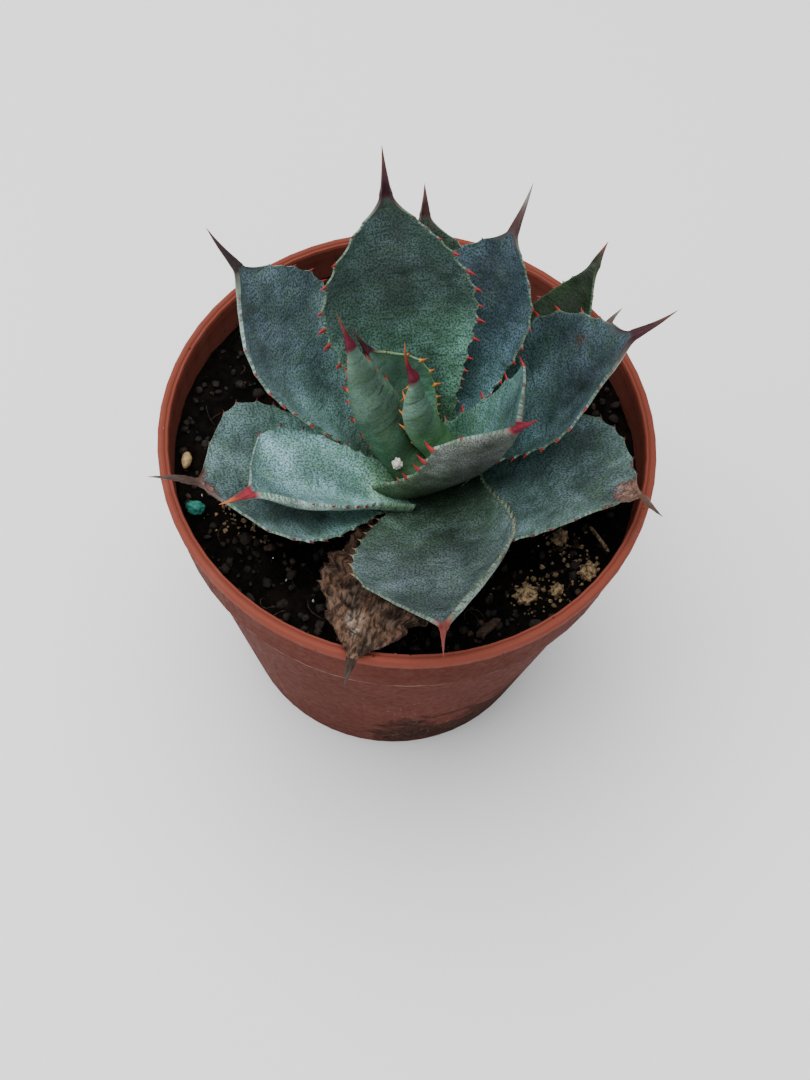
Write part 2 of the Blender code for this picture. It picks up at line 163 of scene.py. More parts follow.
LEAVES = (
    Leaf("leaf_back_tall", (4, 5, 147), 120, (51, 69), 82, 53, (37, 43), roll=-11, bend=-6,
         widest=0.54, spine=18, spine_lift=2, tint=(0.038, 0.062, 0.053), tooth=2.3,
         foot_shade=(1.7, 2.3, 1.9)),
    Leaf("leaf_back_left", (-15, -3, 140), 156, (40, 55), 77, 55, (36, 25), roll=22, bend=-16,
         widest=0.64, neck=0.35, spine=16, spine_lift=-20, tint=(0.065, 0.096, 0.101),
         spine_root=(0.02, 0.012, 0.012), spine_end=(0.05, 0.02, 0.02), tooth=1.8),
    Leaf("leaf_behind", (9, 8, 135), 102, (35, 56), 75, 46, (30, 16), roll=-3, bend=1, widest=0.58,
         spine=11, tint=(0.039, 0.06, 0.043), spine_root=SPINE_BROWN, tooth=1.6),
    Leaf("leaf_back_right", (9, 4, 141), 73, (41, 44), 73, 45, (26, 33), roll=-15, bend=-5,
         widest=0.62, spine_lift=-2, tint=(0.028, 0.047, 0.055), spine_root=SPINE_BROWN,
         spine_end=(0.2, 0.19, 0.18), tooth=1.6),
    Leaf("leaf_low_back_right", (21, 6, 133), 54, (19, 36), 76, 28, (7, 32), roll=-2, bend=6,
         widest=0.52, spine=9, tint=(0.005, 0.017, 0.004), under=(0.012, 0.025, 0.01), tooth=1.4,
         spine_root=(0.03, 0.035, 0.02), spine_end=(0.16, 0.03, 0.03)),
    Leaf("leaf_low_right", (18, -9, 135), 46, (26, 34), 70, 29, (8, 14), roll=-34, bend=-2,
         spine=10, tint=(0.017, 0.026, 0.019), tooth=1.2, spine_root=SPINE_BROWN,
         spine_end=(0.14, 0.14, 0.12)),
    Leaf("leaf_right", (17, 1, 140), 21, (37, 52), 75, 52, (27, 29), roll=-9, bend=-6, widest=0.54,
         neck=0.52, spine_lift=-10, tint=(0.029, 0.048, 0.052), tooth=2.0, decurrent=0.14,
         scar=(0.74, 0.45, 2.6)),
    Leaf("leaf_front_right", (22, -12, 133), -3, (36, 22), 65, 66, (9, 9), roll=-16, bend=-20,
         widest=0.48, spine=10, spine_lift=-42, tint=(0.057, 0.086, 0.08), tooth=1.6, dry=0.11,
         spine_root=DRY_BROWN, spine_end=SPINE_BROWN, tooth_end=TOOTH_DARK,
         foot_shade=(2.6, 2.8, 2.9)),
    Leaf("leaf_front", (15, -16, 136.5), -90, (27, 33), 76, 58, (59, 30), roll=14, bend=3,
         widest=0.62, neck=0.5, spine=18, tint=(0.052, 0.07, 0.068), margin=(0.11, 0.14, 0.07),
         tooth=1.3, spacing=4.6, tooth_root=YELLOW_MARGIN, tooth_end=DRY_PINK, hook=0.1,
         spine_root=(0.15, 0.035, 0.03), spine_end=(0.16, 0.045, 0.04), spine_radius=1.3,
         decurrent=0.04, foot_shade=(0.85, 1.05, 0.75)),
    Leaf("leaf_left_upper", (-7, -22.5, 145), 196, (29, 34), 53, 41, (55, 40), roll=6, bend=23,
         widest=0.66, neck=0.5, spine=12, spine_lift=-20, tint=(0.138, 0.232, 0.232), tooth=1.6,
         spine_root=(0.2, 0.02, 0.03), spine_end=TOOTH_ORANGE, under=(0.2, 0.26, 0.23),
         foot_shade=(0.9, 1.0, 0.9), decurrent=0.04, tooth_end=(0.12, 0.01, 0.02)),
    Leaf("leaf_left_lower", (-7, -13, 133), 202, (25, 24), 69, 65, (29, 16), roll=9, bend=-1,
         widest=0.62, spine=18, spine_lift=7, tint=(0.077, 0.12, 0.114), tooth=1.5, dry=0.05,
         spine_root=(0.07, 0.042, 0.035), spine_end=(0.08, 0.062, 0.055), tooth_end=TOOTH_DARK),
    Leaf("leaf_folded_right", (2.5, -18, 142), -10, (43, 80), 65, 59, (9, 20), roll=-23, bend=-7,
         widest=0.75, neck=0.65, spine=13, spine_lift=-22, crease=26, right_half=0.74,
         tint=(0.053, 0.101, 0.096), under=(0.09, 0.096, 0.082), tooth=3.0, spacing=10.5,
         hook=0.05, turn_up=0.7, spine_root=(0.13, 0.01, 0.022), spine_end=(0.2, 0.015, 0.02),
         wave=0.2, decurrent=0.03, foot_shade=(0.7, 0.9, 0.6)),
    Leaf("leaf_heart_front", (3.5, -13, 147.5), -30, (130, 112), 55, 20, (37, 72), roll=-7, bend=4,
         widest=0.3, neck=0.9, spine=14, spine_lift=-1, tint=(0.052, 0.086, 0.056),
         under=(0.06, 0.105, 0.075), tooth=2.6, tooth_root=TOOTH_ORANGE, hook=0.3, spacing=6.4,
         slot="heart_leaf_skin", wave=0.1, spine_root=(0.1, 0.008, 0.02),
         spine_end=(0.2, 0.05, 0.035), spine_radius=1.4, foot_shade=(0.3, 0.5, 0.3),
         decurrent=0.05),
    Leaf("leaf_heart_back", (6, -0.5, 147.5), 156, (54, 52), 39, 26, (26, 56), roll=-13, widest=0.56,
         spine=11, spine_lift=-1, tint=(0.043, 0.09, 0.062), under=(0.09, 0.17, 0.11), tooth=2.6,
         tooth_root=TOOTH_YELLOW, tooth_end=TOOTH_ORANGE, hook=0.2, spacing=5.5, spine_radius=1.2,
         slot="heart_leaf_skin", wave=0.1, margin=YELLOW_MARGIN),
    Leaf("leaf_heart_core", (11.5, -8, 153), -20, (123, 104), 34, 17, (122, 99), roll=20, bend=-13,
         widest=0.35, neck=0.8, tint=(0.069, 0.129, 0.086), under=(0.078, 0.135, 0.097), tooth=2.4,
         tooth_root=TOOTH_ORANGE, tooth_end=TOOTH_ORANGE, hook=0.3, slot="heart_leaf_skin",
         wave=0.1, margin=YELLOW_MARGIN, spine_root=(0.1, 0.008, 0.02), spine_end=TOOTH_ORANGE,
         spine_radius=1.35, foot_shade=(0.6, 0.9, 0.5)),
)
DEAD_LEAF = Leaf("leaf_dead", (2, -30, 133), -102, (25, 8), 60, 40, (8, 12), widest=0.55, neck=0.6,
                 spine=10, spine_lift=-55, tint=(0.14, 0.078, 0.05), spine_root=(0.08, 0.05, 0.038),
                 spine_end=(0.2, 0.17, 0.15), slot="dead_leaf")


# ---------------------------------------------------------------- geometry helpers

class Body:
    """Vertices and faces gathered for one piece. Each vertex has a colour, how horny it is, and its
    place on the flattened leaf in centimetres."""

    def __init__(self):
        self.points, self.faces = [], []
        self.colours, self.horn, self.spread = [], [], []

    def add(self, point, colour, horn=0.0, spread=(0.0, 0.0)):
        self.points.append(tuple(point))
        self.colours.append(tuple(colour))
        self.horn.append(horn)
        self.spread.append(spread)
        return len(self.points) - 1

    def bridge(self, first, second):
        count = len(first)
        for i in range(count):
            j = (i + 1) % count
            self.faces.append((first[i], first[j], second[j], second[i]))

    def carry_on(self, ring, fresh):
        """Join a new ring to the last one, or close the end with it where it is the first."""
        if ring is None:
            self.faces.append(tuple(reversed(fresh)))
        else:
            self.bridge(ring, fresh)

    def fan(self, ring, tip):
        for i in range(len(ring)):
            self.faces.append((ring[i], ring[(i + 1) % len(ring)], tip))

    def make(self, name, material, replaced=(), crease=60):
        """Turn what was gathered into a piece."""
        mesh = bpy.data.meshes.new(name)
        mesh.from_pydata([tuple(c * MM for c in p) for p in self.points], [], self.faces)
        colours = mesh.color_attributes.new("tone", "FLOAT_COLOR", "POINT")
        flat = np.ones((len(self.points), 4), np.float32)
        flat[:, :3] = np.array(self.colours, np.float32)
        colours.data.foreach_set("color", flat.ravel())
        horn = mesh.attributes.new("horn", "FLOAT", "POINT")
        horn.data.foreach_set("value", np.array(self.horn, np.float32))
        layer = mesh.uv_layers.new(name="leaf_map")
        corners = np.empty(len(mesh.loops), np.int32)
        mesh.loops.foreach_get("vertex_index", corners)
        layer.data.foreach_set("uv", np.array(self.spread, np.float32)[corners].ravel())
        tidy_normals(mesh)
        return place(name, mesh, material, replaced, crease)


def tidy_normals(mesh):
    bm = bmesh.new()
    bm.from_mesh(mesh)
    bmesh.ops.recalc_face_normals(bm, faces=bm.faces)
    bm.to_mesh(mesh)
    bm.free()


def place(name, mesh, material, replaced=(), crease=60):
    """Put a mesh in the scene as a piece that rides on the plant, standing for the nodes it replaces."""
    obj = bpy.data.objects.new(name, mesh)
    bpy.context.scene.collection.objects.link(obj)
    mesh.materials.append(material)
    mesh.shade_smooth()
    mesh.set_sharp_from_angle(angle=math.radians(crease))
    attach(obj, "root")
    for node in replaced:
        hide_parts(node)
    return obj


def mix(a, b, share):
    share = min(1.0, max(0.0, share))
    return tuple(x + (y - x) * share for x, y in zip(a, b))


def ramp(value, low, high):
    """0 below low, 1 above high, eased between."""
    t = min(1.0, max(0.0, (value - low) / (high - low)))
    return t * t * (3 - 2 * t)


def turbulence(x, y, z=0.0, octaves=3):
    return noise.fractal(Vector((x, y, z)), 0.9, 2.0, octaves)


# ---------------------------------------------------------------- leaves

def half_width(leaf, s):
    """Half the blade's flat width at station s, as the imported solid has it."""
    if s < 0:
        return leaf.width / 2 * leaf.neck * (1 + 0.6 * s)
    if s < leaf.widest:
        rise = math.sin(s / leaf.widest * math.pi / 2) ** 1.6
        share = leaf.neck + (1 - leaf.neck) * rise
    else:
        share = (1 - ((s - leaf.widest) / (1 - leaf.widest)) ** 2.1) ** 1.25
    return math.hypot(leaf.width / 2 * share, leaf.spine_radius)


def midrib(leaf):
    """Points along the middle of the blade, and the direction and heading at each."""
    points, directions = [Vector(leaf.foot)], []
    for i in range(MIDRIB_STEPS + 1):
        t = i / MIDRIB_STEPS
        ease = t * t * (3 - 2 * t)
        pitch = math.radians(leaf.pitch[0] + (leaf.pitch[1] - leaf.pitch[0]) * ease)
        heading = math.radians(leaf.heading + leaf.bend * ease)
        flat = Vector((math.cos(heading), math.sin(heading), 0))
        directions.append((flat * math.cos(pitch) + Vector((0, 0, math.sin(pitch))), heading))
        if i:
            middle = (directions[i - 1][0] + directions[i][0]) / 2
            points.append(points[-1] + middle * (leaf.length / MIDRIB_STEPS))
    return points, directions


def frame_at(leaf, points, directions, s):
    """The midrib's point, direction, leftward and upward vectors at station s."""
    i = min(int(max(0.0, s) * MIDRIB_STEPS), MIDRIB_STEPS - 1)
    share = max(0.0, s) * MIDRIB_STEPS - i
    point = points[i].lerp(points[i + 1], share)
    along = directions[i][0].lerp(directions[i + 1][0], share).normalized()
    heading = directions[i][1] + (directions[i + 1][1] - directions[i][1]) * share
    if s < 0:
        point = point + along * (s * leaf.length)
    left = Vector((-math.sin(heading), math.cos(heading), 0))
    up = along.cross(left)
    roll = math.radians(leaf.roll)
    return (point, along, left * math.cos(roll) + up * math.sin(roll),
            up * math.cos(roll) - left * math.sin(roll))


def tooth_stations(leaf, side, seed):
    """Where the teeth stand on one margin: closer together towards the foot and the tip."""
    rng = random.Random(seed * 2 + (side > 0))
    stations, s = [], 0.03 + rng.random() * 0.03
    while s < 0.93:
        stations.append(s)
        crowd = 0.6 if s < 0.2 or s > 0.8 else 1.0
        s += leaf.spacing * crowd * rng.uniform(0.75, 1.25) / leaf.length
    return stations


def tooth_size(leaf, s):
    """Small at the foot, full in the middle, small and close to the blade near the tip."""
    return leaf.tooth * (0.4 + 0.6 * ramp(s, 0.05, 0.35)) * (1 - 0.6 * ramp(s, 0.72, 0.92))


def side_of(u):
    """1 on the left half of a blade, -1 on the right half."""
    return 1 if u > 0 else -1


def blade_colour(leaf, s, u, edge, top, seed):
    """The skin's broad colour: bloom rubbed in patches, painted light and shade towards the foot, greener
    foot, pale margin, dried end.
    """
    across = u * half_width(leaf, s) / 10
    along = s * leaf.length / 10
    cloud = turbulence(across * 0.7 + seed * 3, along * 0.5, seed)
    patch = turbulence(across * 1.9 + seed * 5, along * 1.5, seed + 9)
    base = leaf.tint if top else leaf.under
    colour = tuple(c * (1 + 0.5 * cloud + 0.25 * patch) for c in base)
    colour = tuple(c * (1 + 0.55 * ramp(abs(u), 0.25, 0.95)) for c in colour)
    # painted light and shade: towards the foot the colour is lightened or darkened by the leaf's foot_shade
    shaded = tuple(c * k for c, k in zip(colour, leaf.foot_shade))
    colour = mix(colour, shaded, ramp(-s, -0.7, -0.1))
    green = (base[1] * 0.62, base[1] * 1.15, base[1] * 0.55)
    colour = mix(colour, green, 0.5 * ramp(-s, -0.22, 0.0) + 0.35 * ramp(patch, 0.1, 0.7))
    fringe = 0.4 + 0.2 * turbulence(s * 5, side_of(u) * 3.0, seed + 6)
    colour = mix(colour, leaf.margin, fringe * ramp(-edge, -0.9, -0.1))
    colour = mix(colour, tuple(c * 0.6 for c in colour), 0.35 * ramp(s, 0.86, 1.0))
    if leaf.scar:
        scar_s, scar_u, reach = leaf.scar
        away = math.hypot((s - scar_s) * leaf.length, (u - scar_u) * half_width(leaf, s))
        away += 3.0 * turbulence(across * 6, along * 6, seed)
        colour = mix(colour, SCAR_BROWN, 0.85 * ramp(-away, -reach, -0.4 * reach))
    if leaf.dry:
        limit = 1 - leaf.dry * (1.0 + 0.8 * turbulence(across * 2.2, along, seed + 4))
        dried = mix(DRY_BROWN, DRY_PINK, 0.5 + turbulence(across * 5, along * 5, seed))
        colour = mix(colour, dried, ramp(s, limit - 0.02, limit + 0.02))
        colour = mix(colour, TOOTH_DARK, 0.6 * ramp(-abs(s - limit), -0.02, -0.004))
    return colour


def add_tooth(body, seat, outward, forward, size, lean, root, end):
    """One hooked tooth, its foot sunk in the margin."""
    normal = outward.cross(forward)
    width = 0.19 * size + 0.12
    rings = []
    for t in TOOTH_RINGS:
        grow = max(0.0, t)
        centre = seat + outward * (size * t) + forward * (lean * size * grow * grow)
        radius = width * (1 - grow) ** 0.8 * (1.25 if t <= 0 else 1.0)
        colour = mix(root, end, ramp(t, -0.15, 0.35))
        ring = []
        for k in range(TOOTH_SIDES):
            angle = 2 * math.pi * k / TOOTH_SIDES
            offset = forward * (radius * 1.15 * math.cos(angle))
            offset += normal * (radius * 0.7 * math.sin(angle))
            ring.append(body.add(centre + offset, colour, 0.3 + 0.7 * ramp(t, -0.1, 0.2)))
        rings.append(ring)
    for first, second in zip(rings, rings[1:]):
        body.bridge(first, second)
    tip = body.add(seat + outward * size + forward * (lean * size), mix(end, TOOTH_DARK, 0.5), 1.0)
    body.fan(rings[-1], tip)
    body.faces.append(tuple(reversed(rings[0])))


def folded(leaf, u, width):
    """How far out and up a point of the section lies, and the turn of its face there."""
    fold = math.radians(leaf.cup[0] if u > 0 else leaf.cup[1])
    crease = math.radians(leaf.crease)
    turn = crease + fold * abs(u)
    outwards = width * (math.sin(turn) - math.sin(crease)) / fold
    lift = width * (math.cos(crease) - math.cos(turn)) / fold
    return outwards, lift, turn if u else 0.0


def scallops(leaf, s, stations):
    """How far the margin's knobs stand out at station s: 1 at a tooth, falling away on both sides."""
    return sum(math.exp(-((s - t) * leaf.length / (0.75 * leaf.tooth)) ** 2)
               for t in stations if abs(s - t) * leaf.length < 5 * leaf.tooth)


def blade_section(leaf, here, s, teeth, seed):
    """Top and underside points of one cross-section, from the right margin to the left one."""
    point, _, left, up = here
    base_width = half_width(leaf, s)
    middle = leaf.thickness + FOOT_EXTRA * (1 - max(0.0, s)) ** 2
    knob = 0.6 * leaf.tooth * min(1.0, leaf.width / FULL_SCALLOP_WIDTH) ** 2
    dried = ramp(s, 1 - 1.3 * leaf.dry, 1 - 0.5 * leaf.dry) if leaf.dry else 0.0
    top, under = [], []
    for u in SECTION:
        side = side_of(u)
        margin = knob * scallops(leaf, s, teeth[side]) - MARGIN_TRIM
        width = base_width + margin * abs(u) ** 9 * ramp(s, 0, 0.05)
        width *= leaf.right_half if u < 0 else 1.0
        outwards, lift, turn = folded(leaf, u, width)
        normal = up * math.cos(turn) - left * (side * math.sin(turn))
        ripple = turbulence(u * base_width / 11 + seed * 7, s * leaf.length / 13, seed, 2)
        crumple = turbulence(u * base_width / 3, s * leaf.length / 4, seed + 2, 3)
        rise = leaf.wave * ripple * ramp(s, 0.05, 0.3) * ramp(1 - s, 0.0, 0.1) + 1.3 * dried * crumple
        thickness = MARGIN_THICKNESS + (middle - MARGIN_THICKNESS) * (1 - u * u) ** 0.8
        thickness *= 1 - 0.45 * dried
        spot = point + left * (side * outwards) + up * lift + normal * rise
        edge = (1 - abs(u)) * base_width
        spread = (u * base_width / 10, s * leaf.length / 10 + seed * 1.7)
        top.append((spot, edge, u, spread))
        under.append((spot - normal * thickness, edge, u, spread))
    return top, under


def add_spine(body, leaf, here, ring, seed):
    """The end spine: grooved above, tapering, drawn on from the blade's last section."""
    point, along, left, up = here
    lift = math.radians(leaf.spine_lift)
    goal = point + (along * math.cos(lift) + up * math.sin(lift)) * leaf.spine
    last = [Vector(body.points[i]) for i in ring]
    middle = sum(last, Vector()) / len(last)
    half = len(ring) // 2
    bow_side = 1 if leaf.spine_lift < 0 else -1
    for step in range(1, SPINE_RINGS):
        f = step / SPINE_RINGS
        bow = math.sin(f * math.pi) * 0.04 * leaf.spine
        centre = middle.lerp(goal, f) - up * bow * bow_side
        radius = leaf.spine_radius * (0.7 * (1 - f) ** 1.5 + 0.32 * (1 - f) ** 0.6)
        fresh = []
        for k, old in enumerate(last):
            u = (k / (half - 1) * 2 - 1) if k < half else (1 - (k - half) / (half - 1) * 2)
            sign = 1 if k < half else -1
            side, height = math.sin(u * math.pi / 2), sign * math.cos(u * math.pi / 2)
            if sign > 0:
                height -= 0.75 * math.exp(-(u / 0.3) ** 2) * (1 - f)
            knot = 1 + (0.35 * turbulence(f * 9, u * 2, seed) if leaf.dry else 0)
            smooth = centre + (left * side + up * (height * 0.85)) * radius * knot
            carried = centre + (old - middle) * (1 - f)
            share = ramp(f, 0.0, 0.3)
            colour = mix(leaf.spine_root, leaf.spine_end, ramp(f, 0.25, 0.95))
            colour = tuple(c * (1 + 0.5 * turbulence(f * 4, u, seed + 3)) for c in colour)
            fresh.append(body.add(carried.lerp(smooth, share), colour, 1.0, (u, 60 + f)))
        body.bridge(ring, fresh)
        ring = fresh
    body.fan(ring, body.add(goal, leaf.spine_end, 1.0))


def add_teeth(body, leaf, points, directions, teeth, seed):
    """The teeth of both margins, each set between the edges of the section it stands on."""
    step_on = 0.01
    rng = random.Random(seed + 50)
    for side in (1, -1):
        end, inner = (-1, -3) if side > 0 else (0, 2)
        for s in teeth[side]:
            here, ahead = [blade_section(leaf, frame_at(leaf, points, directions, at), at, teeth, seed)
                           for at in (s, s + step_on)]
            top, under = here[0][end][0], here[1][end][0]
            outward = (top - here[0][inner][0]).normalized()
            outward = (outward + (top - under).normalized() * leaf.turn_up).normalized()
            forward = (ahead[0][end][0] - top).normalized()
            forward = (forward - outward * forward.dot(outward)).normalized()
            size = tooth_size(leaf, s) * rng.uniform(0.8, 1.25)
            lean = leaf.hook + 0.9 * ramp(s, 0.68, 0.85) + rng.uniform(-0.15, 0.15)
            end_colour = mix(leaf.tooth_end, TOOTH_DARK, 0.8 * ramp(s, 0.8, 0.92))
            end_colour = mix(leaf.margin, end_colour, ramp(s, 0.02, 0.25))
            add_tooth(body, (top + under) / 2, outward, forward, size, lean, leaf.tooth_root, end_colour)


def make_leaf(leaf, seed, material):
    body = Body()
    points, directions = midrib(leaf)
    teeth = {side: tooth_stations(leaf, side, seed) for side in (1, -1)}
    tail = leaf.tail / leaf.length
    stations = [-tail + tail * i / TAIL_STATIONS for i in range(TAIL_STATIONS)]
    stations += [i / STATIONS for i in range(STATIONS + 1)]
    ring = None
    for s in stations:
        here = frame_at(leaf, points, directions, s)
        top, under = blade_section(leaf, here, s, teeth, seed)
        fresh = []
        for on_top, row in ((True, top), (False, under[::-1])):
            for spot, edge, u, spread in row:
                colour = blade_colour(leaf, s, u, edge, on_top, seed)
                horny = ramp(s, 1 - leaf.decurrent, 1.0) ** 0.7 * ramp(abs(u), 0.2, 0.9)
                horny = max(horny, ramp(s, 0.975, 1.0))
                colour = mix(colour, leaf.spine_root, horny)
                fresh.append(body.add(spot, colour, horny, spread))
        body.carry_on(ring, fresh)
        ring = fresh
    add_spine(body, leaf, here, ring, seed)
    add_teeth(body, leaf, points, directions, teeth, seed)
    return body.make(leaf.name + "_blade", material, (leaf.name,))


def dead_leaf_colour(leaf, s, u, across, far, ridge, seed):
    """Painted shade in the creases, dusty in places, bleached in one patch near the end."""
    # painted shade: darker where ridge sinks the surface into a crease
    tone = 1.35 + 1.1 * turbulence(across / 3.5, far / 8, seed) - 2.2 * ridge
    colour = tuple(c * max(0.25, tone) for c in leaf.tint)
    dust = ramp(turbulence(across / 5, far / 5, seed + 1), 0.05, 0.5)
    colour = mix(colour, DEAD_DUST, 0.35 * dust)
    bleached = ramp(-math.hypot((s - 0.78) * 60, (u + 0.25) * 22), -6.5, -3.0)
    colour = mix(colour, DEAD_BLEACHED, 0.8 * bleached * ramp(turbulence(across, far), -0.3, 0.2))
    return mix(colour, tuple(c * 0.35 for c in colour), ramp(abs(u), 0.9, 1.0) * 0.6)


def make_dead_leaf(leaf, seed, material):
    """The dry leaf: crumpled, split along its margin, its end shrivelled into a twisted point."""
    body = Body()
    points, directions = midrib(leaf)
    ring = None
    for i in range(STATIONS + 1):
        s = i / STATIONS
        here = frame_at(leaf, points, directions, s)
        point, _, left, up = here
        base_width = half_width(leaf, s)
        tops, unders = [], []
        for u in SECTION:
            side = side_of(u)
            torn = 1 - 0.34 * abs(turbulence(s * 5 + side * 4, side * 3.0, seed, 4))
            torn -= 0.08 * turbulence(s * 11, side)
            width = base_width * (1 + (torn - 1) * ramp(1 - s, 0.03, 0.2))
            outwards, lift, _ = folded(leaf, u, width)
            across, far = u * base_width, s * leaf.length
            ridge = abs(turbulence(across / 4.5, far / 12, seed, 3))
            fold_over = turbulence(across / 9, far / 14, seed + 3, 2)
            curl = 2.0 * abs(u) ** 4 * turbulence(s * 7, side * 5.0, seed + 8, 2)
            rise = (2.4 * fold_over - 3.4 * ridge + curl) * ramp(1 - s, 0.0, 0.15)
            spot = point + left * (side * outwards) + up * (lift + rise)
            colour = dead_leaf_colour(leaf, s, u, across, far, ridge, seed)
            spread = (across / 10, far / 10)
            tops.append((spot, colour, spread))
            thin = 0.35 + 0.9 * (1 - u * u)
            # painted shade: the underside is the top's colour darkened
            unders.append((spot - up * thin, tuple(c * 0.7 for c in colour), spread))
        fresh = [body.add(p, c, 0.0, q) for p, c, q in tops + unders[::-1]]
        body.carry_on(ring, fresh)
        ring = fresh
    add_spine(body, leaf, here, ring, seed)
    return body.make(leaf.name + "_blade", material, (leaf.name,))


# ---------------------------------------------------------------- materials

class Nodes:
    """A short way to write a node material."""

    def __init__(self, name):
        self.material = bpy.data.materials.new(name)
        self.material.use_nodes = True
        self.tree = self.material.node_tree
        self.shader = self.tree.nodes["Principled BSDF"]

    def link(self, value, socket):
        """Feed a socket from another one, or set it to a number or a colour."""
        if isinstance(value, bpy.types.NodeSocket):
            self.tree.links.new(value, socket)
        elif isinstance(value, tuple):
            socket.default_value = (*value, 1.0) if len(socket.default_value) == 4 else value
        else:
            socket.default_value = value

    def node(self, kind, output=0, settings=None, **inputs):
        """Add a node and return one of its outputs. An input is given by name, or as _0 by number."""
        made = self.tree.nodes.new(kind)
        for key, value in (settings or {}).items():
            setattr(made, key, value)
        for key, value in inputs.items():
            name = key.replace("_", " ")
            self.link(value, made.inputs[name if name in made.inputs else int(key[1:])])
        return made.outputs[output]

    def attribute(self, name, output="Fac"):
        return self.node("ShaderNodeAttribute", output, {"attribute_name": name})

    def place(self):
        return self.node("ShaderNodeTexCoord", "Object")

    def scaled(self, vector, scale):
        return self.node("ShaderNodeMapping", 0, None, Vector=vector, Scale=scale)

    def noise(self, vector, scale, detail=3.0, rough=0.55, distortion=0.0):
        return self.node("ShaderNodeTexNoise", "Fac", None, Vector=vector, Scale=scale, Detail=detail,
                         Roughness=rough, Distortion=distortion)

    def split(self, vector):
        made = self.tree.nodes.new("ShaderNodeSeparateXYZ")
        self.link(vector, made.inputs[0])
        return made.outputs

    def ramp(self, value, low, high, at_low=0.0, at_high=1.0):
        return self.node("ShaderNodeMapRange", 0, {"interpolation_type": "SMOOTHSTEP"}, Value=value,
                         From_Min=low, From_Max=high, To_Min=at_low, To_Max=at_high)

    def maths(self, operation, first, second=0.5):
        return self.node("ShaderNodeMath", 0, {"operation": operation}, _0=first, _1=second)

    def times(self, first, second):
        return self.maths("MULTIPLY", first, second)

    def mix(self, share, first, second, blend="MIX"):
        made = self.tree.nodes.new("ShaderNodeMix")
        made.data_type = "RGBA"
        made.blend_type = blend
        self.link(share, made.inputs[0])
        self.link(first, made.inputs[6])
        self.link(second, made.inputs[7])
        return made.outputs[2]

    def tinted(self, colour, by):
        return self.mix(1.0, colour, by, "MULTIPLY")

    def paint(self, under, colour, share, most):
        """Lay a colour over another where share says, up to most of it."""
        return self.mix(self.times(share, most), under, colour)

    def specks(self, vector, scale, core, rim, patch_scale, low, high):
        """Small round specks, gathered in patches."""
        cells = self.node("ShaderNodeTexVoronoi", "Distance", None, Vector=vector, Scale=scale)
        return self.times(self.ramp(cells, core, rim, 1.0, 0.0),
                          self.ramp(self.noise(vector, patch_scale), low, high))

    def bump(self, height, strength, distance, under=None):
        inputs = {"Height": height, "Strength": strength, "Distance": distance}
        if under is not None:
            inputs["Normal"] = under
        return self.node("ShaderNodeBump", 0, None, **inputs)

    def finish(self, colour, roughness, normal=None, **fixed):
        self.link(colour, self.shader.inputs["Base Color"])
        self.link(roughness, self.shader.inputs["Roughness"])
        if normal is not None:
            self.link(normal, self.shader.inputs["Normal"])
        for key, value in fixed.items():
            self.shader.inputs[key.replace("_", " ")].default_value = value
        return self.material


def leaf_material(name, speck=0.82):
    """Waxy skin: fine dark stipple, rubbed bloom, short imprint lines, glossy horn on teeth and spine."""
    n = Nodes(name)
    flat = n.node("ShaderNodeUVMap", 0, {"uv_map": "leaf_map"})
    horn = n.attribute("horn")
    skin = n.ramp(horn, 0.05, 0.4, 1.0, 0.0)
    stipple = n.noise(n.scaled(flat, (1.2, 1.0, 1.0)), 13.0, 2.0, 0.6)
    pits = n.ramp(stipple, 0.42, 0.56, 1.0, 0.0)
    clouds = n.noise(flat, 0.9, 5.0, 0.62, 0.4)
    rub = n.noise(n.scaled(flat, (0.8, 2.6, 1.0)), 1.7, 4.0, 0.6, 0.3)
    prints = n.noise(n.scaled(flat, (0.55, 3.4, 1.0)), 2.3, 1.5, 0.45, 0.5)
    fade = n.ramp(n.noise(flat, 0.55, 2.0), 0.44, 0.56)
    marks = n.times(n.ramp(prints, 0.63, 0.67), fade)
    tone = n.attribute("tone", "Color")
    bloom = n.tinted(tone, (1.75, 1.68, 1.95))
    colour = n.paint(tone, bloom, n.ramp(clouds, 0.42, 0.66), 0.85)
    rubbed = n.tinted(colour, (0.55, 0.68, 0.48))
    colour = n.paint(colour, rubbed, n.ramp(rub, 0.5, 0.66), 0.7)
    colour = n.paint(colour, n.tinted(tone, (0.2, 0.3, 0.3)), pits, speck)
    colour = n.paint(colour, n.tinted(tone, (0.3, 0.38, 0.36)), marks, 0.75)
    colour = n.mix(skin, tone, colour)
    rough = n.maths("ADD", n.ramp(clouds, 0.35, 0.7, 0.44, 0.6), n.times(horn, -0.16))
    fine = n.bump(stipple, 0.3, 0.0004)
    wide = n.bump(n.noise(flat, 2.2, 3.0, 0.5), 0.3, 0.0012, fine)
    return n.finish(colour, rough, wide, Specular_IOR_Level=0.2)


def dead_leaf_material():
    """Dry skin with veins along the leaf and paler flakes."""
    n = Nodes("dry_leaf_skin")
    flat = n.node("ShaderNodeUVMap", 0, {"uv_map": "leaf_map"})
    tone = n.attribute("tone", "Color")
    veins = n.noise(n.scaled(flat, (2.4, 0.9, 1.0)), 3.2, 5.0, 0.6, 0.35)
    flakes = n.noise(flat, 11.0, 4.0, 0.7)
    colour = n.mix(n.ramp(veins, 0.38, 0.6), n.tinted(tone, (0.24, 0.21, 0.2)), tone)
    paler = n.mix(0.5, tone, (0.34, 0.27, 0.22))
    colour = n.paint(colour, paler, n.ramp(flakes, 0.55, 0.75), 0.5)
    normal = n.bump(flakes, 0.5, 0.0006, n.bump(veins, 0.9, 0.0022))
    return n.finish(colour, n.ramp(flakes, 0.3, 0.7, 0.75, 0.95), normal, Specular_IOR_Level=0.2)


